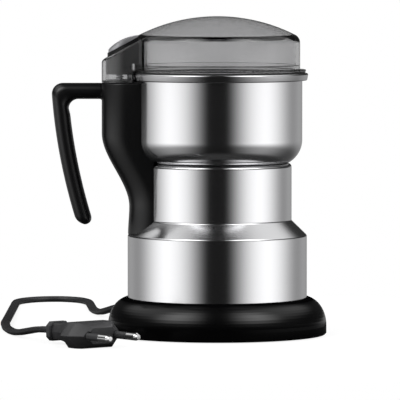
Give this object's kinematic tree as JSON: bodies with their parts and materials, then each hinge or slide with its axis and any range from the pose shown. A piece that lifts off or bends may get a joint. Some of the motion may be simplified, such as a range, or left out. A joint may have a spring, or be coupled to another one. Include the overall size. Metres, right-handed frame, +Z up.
{
  "type": "electric coffee grinder",
  "caption": "Upright electric blade grinder: steel bowl and housing on a black base, smoked lid with a sprung press key over a side column with an open hook handle, flat cord and flat plug.",
  "frame": {"origin": "on the bench under the blade axis, at the centre of the foot ring's underside", "axes": "+Z up along the blade axis; the handle and the press key point to -X; -Y is the front, towards the viewer of the picture"},
  "size_m": [0.1816, 0.3404, 0.1749],
  "materials": {
    "gloss_black": "glossy black moulded plastic",
    "satin_black": "satin black moulded plastic",
    "inner_plastic": "dark grey moulded plastic",
    "button_plastic": "red moulded plastic",
    "rubber_black": "soft black rubber",
    "cord_black": "black flexible sheath",
    "plug_black": "black moulded-on plug",
    "polished_steel": "polished stainless sheet",
    "blade_steel": "ground stainless steel",
    "smoked_clear": "clear smoked plastic",
    "silver_grip": "silver ribbed plastic",
    "bright_pin": "nickel plated brass",
    "screw_steel": "zinc plated steel",
    "spring_steel": "bright drawn steel",
    "cast_bracket": "die cast",
    "laminations": "stacked electrical sheet",
    "copper": "enamelled copper",
    "bearing_bronze": "sintered bronze",
    "contact_brass": "stamped brass",
    "carbon": "pressed carbon"
  },
  "bodies": {
    "grinder": {"foot_ring": "rubber_black", "base_shell": "gloss_black", "bottom_cover": "satin_black", "cover_screws": "screw_steel", "housing_shell": "polished_steel", "bowl_gasket": "rubber_black", "bowl": "polished_steel", "bowl_nuts": "screw_steel", "shaft_seal": "rubber_black", "upper_bracket": "cast_bracket", "upper_bearing": "bearing_bronze", "stator_core": "laminations", "field_coils": "copper", "lower_bracket": "inner_plastic", "lower_bearing": "bearing_bronze", "motor_screws": "screw_steel", "brush_holders": "contact_brass", "carbon_brushes": "carbon", "brush_springs": "spring_steel", "handle_column": "satin_black", "column_screws": "screw_steel", "switch_case": "inner_plastic", "switch_terminals": "contact_brass", "switch_screws": "screw_steel", "cord_clamp": "inner_plastic", "clamp_screws": "screw_steel", "cord_bush": "cord_black", "cord_tail": "cord_black", "power_cord": "cord_black", "plug_body": "plug_black", "pin_sleeves": "plug_black", "plug_pins": "bright_pin"},
    "rotor": {"motor_shaft": "spring_steel", "armature_core": "laminations", "armature_winding": "copper", "commutator": "copper", "cooling_fan": "inner_plastic", "blade_spacer": "blade_steel", "blade": "blade_steel", "blade_nut": "blade_steel"},
    "lid": {"lid_cover": "smoked_clear", "lid_seal": "rubber_black", "key_retainer": "satin_black", "key_spring": "spring_steel"},
    "key": {"press_key": "satin_black", "key_grip": "silver_grip", "push_rod": "spring_steel"},
    "switch_lever": {"switch_lever": "screw_steel"},
    "switch_button": {"switch_button": "button_plastic"}
  },
  "joints": [
    {"name": "blade_spin", "type": "hinge", "parent": "grinder", "child": "rotor", "pos_m": [0, 0, 0.1013], "axis": [0, 0, 1], "continuous": true},
    {"name": "lid_lift", "type": "slide", "parent": "grinder", "child": "lid", "axis": [0, 0, 1], "range_m": [0, 0.08]},
    {"name": "key_press", "type": "slide", "parent": "lid", "child": "key", "axis": [0, 0, -1], "range_m": [0, 0.003], "stiffness_N_per_m": 600, "springref_m": -0.004, "deforming": ["key_spring"]},
    {"name": "lever_turn", "type": "hinge", "parent": "grinder", "child": "switch_lever", "pos_m": [-0.05315, -0.0115, 0.12922], "axis": [-1, 0, 0], "range_deg": [0, 14.5]},
    {"name": "button_press", "type": "slide", "parent": "grinder", "child": "switch_button", "axis": [0, 0, -1], "range_m": [0, 0.0008]}
  ],
  "couplings": [
    {"joint": "lever_turn", "follows": "key_press", "rad_per_m": 77},
    {"joint": "button_press", "follows": "key_press", "ratio": 0.25}
  ]
}
